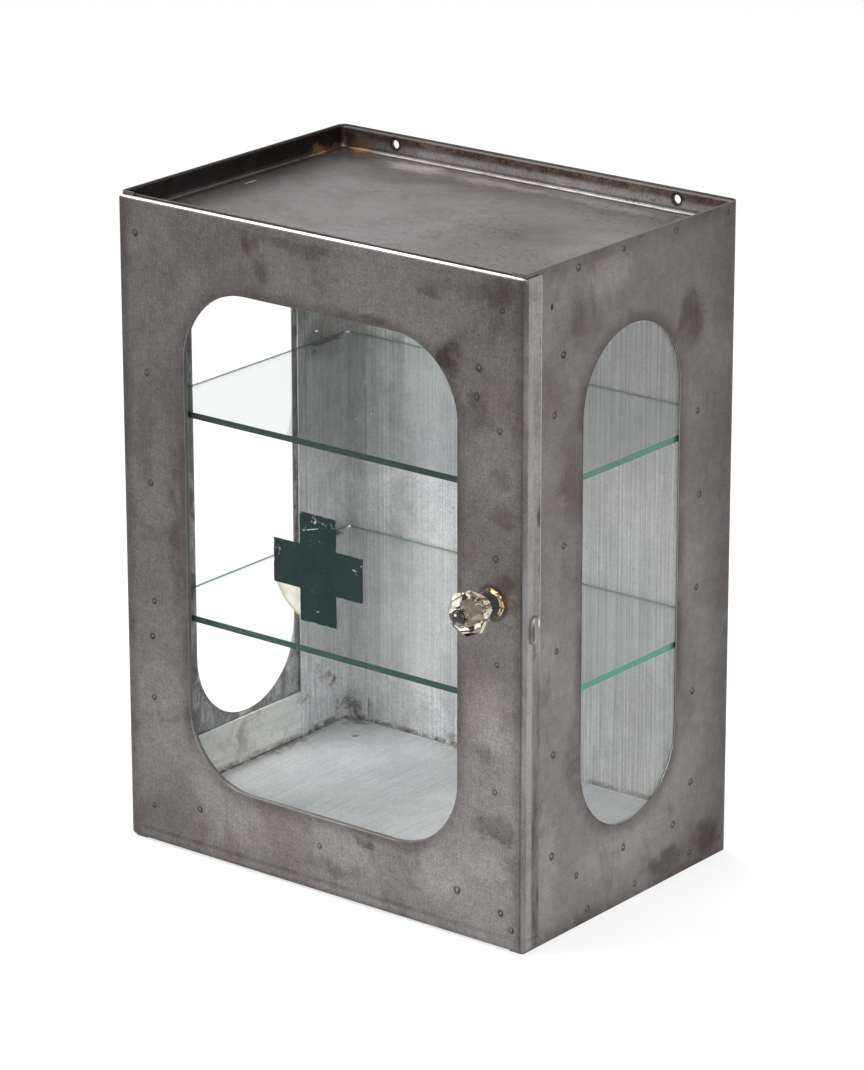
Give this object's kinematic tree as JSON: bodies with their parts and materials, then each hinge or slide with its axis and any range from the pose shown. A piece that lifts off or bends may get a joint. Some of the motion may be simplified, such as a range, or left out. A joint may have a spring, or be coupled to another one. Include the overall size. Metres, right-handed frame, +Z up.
{
  "type": "hospital wall cabinet",
  "caption": "Sheet-steel wall cabinet with a glazed hinged door, glazed sides, glass shelves, a recessed roof and a faceted glass knob.",
  "frame": {"origin": "middle of the case's underside, level with the rim that it stands on", "axes": "+Z up, +X to the right as seen from the front, +Y towards the wall; the door faces -Y"},
  "size_m": [0.3931, 0.3076, 0.52],
  "materials": {
    "bare_steel": "bare brushed sheet steel, worn and mottled",
    "old_white_paint": "worn off-white enamel with brush streaks",
    "hardware_steel": "plain steel hardware",
    "dark_bolt": "dark polished steel",
    "window_glass": "clear sheet glass",
    "shelf_glass": "clear glass with green edges",
    "knob_crystal": "faceted amber-tinted glass",
    "old_brass": "darkened brass"
  },
  "bodies": {
    "case": {"case_shell": "bare_steel", "roof_pan": "bare_steel", "floor_pan": "old_white_paint", "left_front_post": "bare_steel", "right_front_post": "bare_steel", "left_rear_post": "old_white_paint", "right_rear_post": "old_white_paint", "left_glass_rail": "old_white_paint", "right_glass_rail": "old_white_paint", "side_glass_tabs": "old_white_paint", "left_side_glass": "window_glass", "right_side_glass": "window_glass", "upper_shelf": "shelf_glass", "lower_shelf": "shelf_glass", "upper_shelf_clips": "old_white_paint", "lower_shelf_clips": "old_white_paint", "shelf_clip_rivets": "hardware_steel", "catch_spring": "hardware_steel", "catch_rivets": "hardware_steel", "upper_hinge_case_leaf": "hardware_steel", "lower_hinge_case_leaf": "hardware_steel", "upper_hinge_pin": "hardware_steel", "lower_hinge_pin": "hardware_steel", "hinge_case_rivets": "hardware_steel"},
    "door": {"door_panel": "bare_steel", "door_glass": "window_glass", "door_glass_channel": "old_white_paint", "door_glass_bar": "old_white_paint", "door_bar_studs": "hardware_steel", "door_bar_nuts": "hardware_steel", "upper_hinge_door_leaf": "hardware_steel", "lower_hinge_door_leaf": "hardware_steel", "hinge_door_rivets": "hardware_steel", "knob_glass": "knob_crystal", "knob_bolt": "dark_bolt", "knob_washer": "old_brass", "knob_nut": "hardware_steel"}
  },
  "joints": [
    {"name": "door_hinge", "type": "hinge", "parent": "case", "child": "door", "pos_m": [-0.1953, -0.1111, 0.26], "axis": [0, 0, -1], "range_deg": [0, 170], "deforming": ["catch_spring"]}
  ]
}
